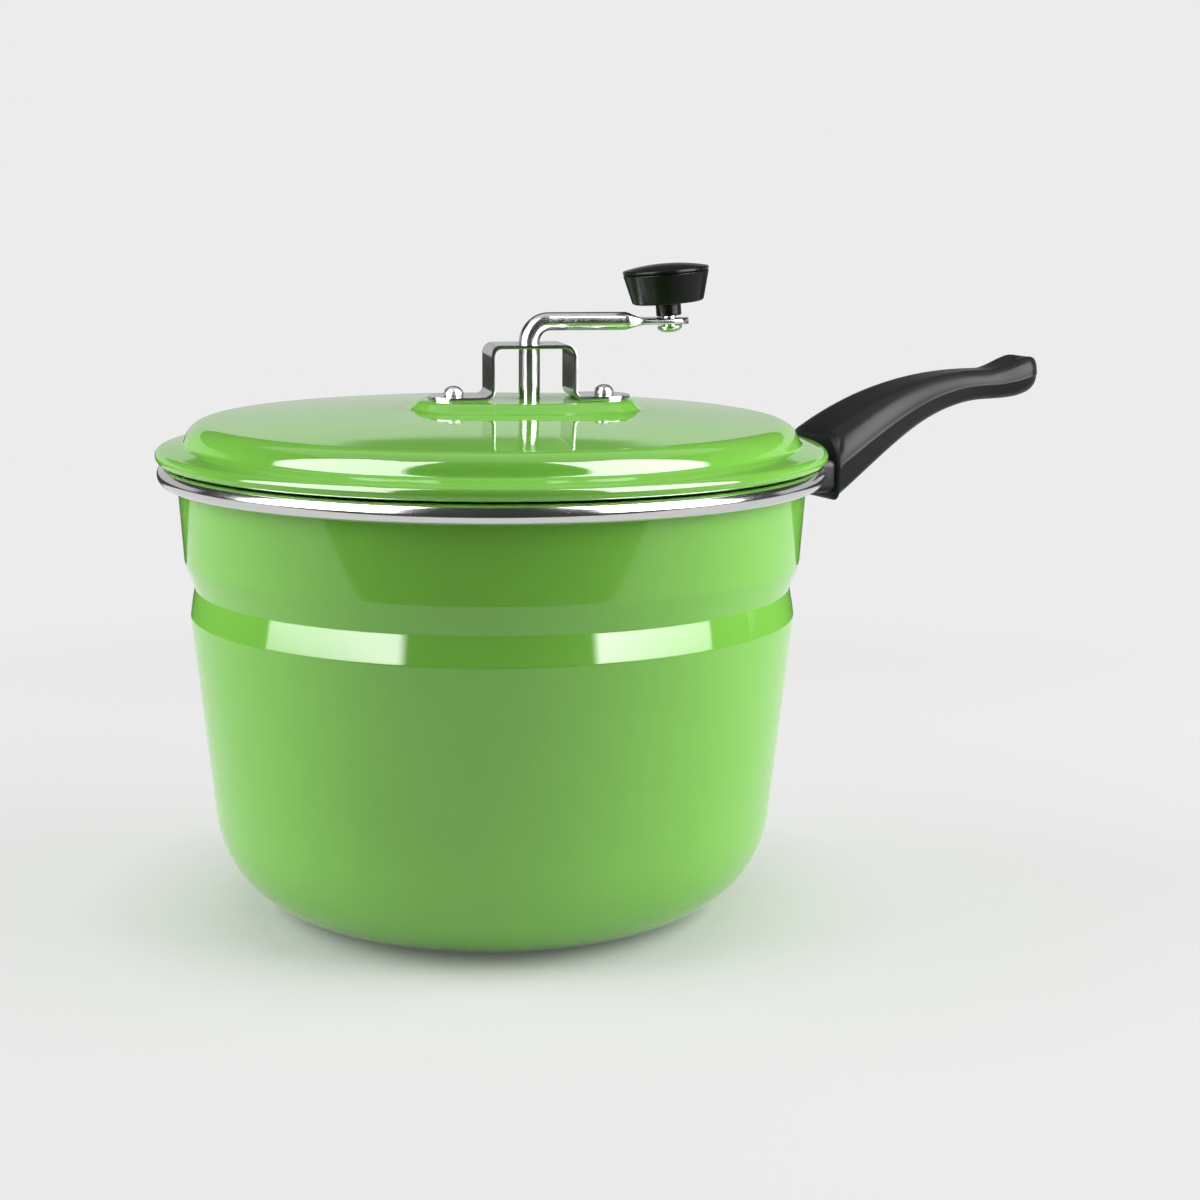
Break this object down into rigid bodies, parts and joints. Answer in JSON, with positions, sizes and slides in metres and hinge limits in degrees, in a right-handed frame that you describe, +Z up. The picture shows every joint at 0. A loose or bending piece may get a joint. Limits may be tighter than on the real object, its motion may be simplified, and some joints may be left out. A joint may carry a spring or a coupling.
{
  "type": "stovetop popcorn popper",
  "caption": "Enamelled stovetop popcorn pot with a stay-cool side handle and a lift-off lid; a bent crank through the lid turns wire stirrers over the pot's floor.",
  "frame": {"origin": "centre of the pot's flat base, on the surface it stands on", "axes": "+Z up along the pot's axis, +X along the side handle"},
  "size_m": [0.3518, 0.2358, 0.2281],
  "materials": {
    "enamel": "glossy vitreous enamel, apple green",
    "trim_steel": "polished stainless steel",
    "strip_steel": "polished strip with a fine grain",
    "bar_chrome": "bright plated bar",
    "wire_steel": "drawn stainless wire",
    "screw_steel": "bright stainless fasteners",
    "insert_brass": "turned",
    "bakelite": "satin phenolic moulding with a fine texture"
  },
  "bodies": {
    "pot": {"pot_shell": "enamel", "rim_band": "trim_steel", "handle_bracket": "strip_steel", "handle_ferrule": "trim_steel", "handle": "bakelite", "handle_screw": "screw_steel", "handle_insert": "insert_brass"},
    "lid": {"lid_shell": "enamel", "crank_bracket": "strip_steel", "bracket_screws": "screw_steel", "bracket_washers": "screw_steel", "bracket_nuts": "screw_steel", "backing_plate": "strip_steel"},
    "crank": {"crank_rod": "bar_chrome", "thrust_washer": "screw_steel", "split_pin": "screw_steel", "stirrer_hub": "bar_chrome", "stirrer_wire": "wire_steel", "breaker_wire": "wire_steel", "hub_screw": "screw_steel", "knob_spindle": "screw_steel", "knob_washer": "screw_steel"},
    "knob": {"knob": "bakelite", "knob_cap": "bakelite"}
  },
  "joints": [
    {"name": "lid_lift", "type": "slide", "parent": "pot", "child": "lid", "axis": [0, 0, 1], "range_m": [0, 0.19]},
    {"name": "crank_turn", "type": "hinge", "parent": "lid", "child": "crank", "pos_m": [0.01236, -0.00331, 0], "axis": [0, 0, 1], "continuous": true},
    {"name": "knob_spin", "type": "hinge", "parent": "crank", "child": "knob", "pos_m": [0.06114, -0.01638, 0.2089], "axis": [-0.0842, 0.0226, 0.9962], "continuous": true}
  ]
}
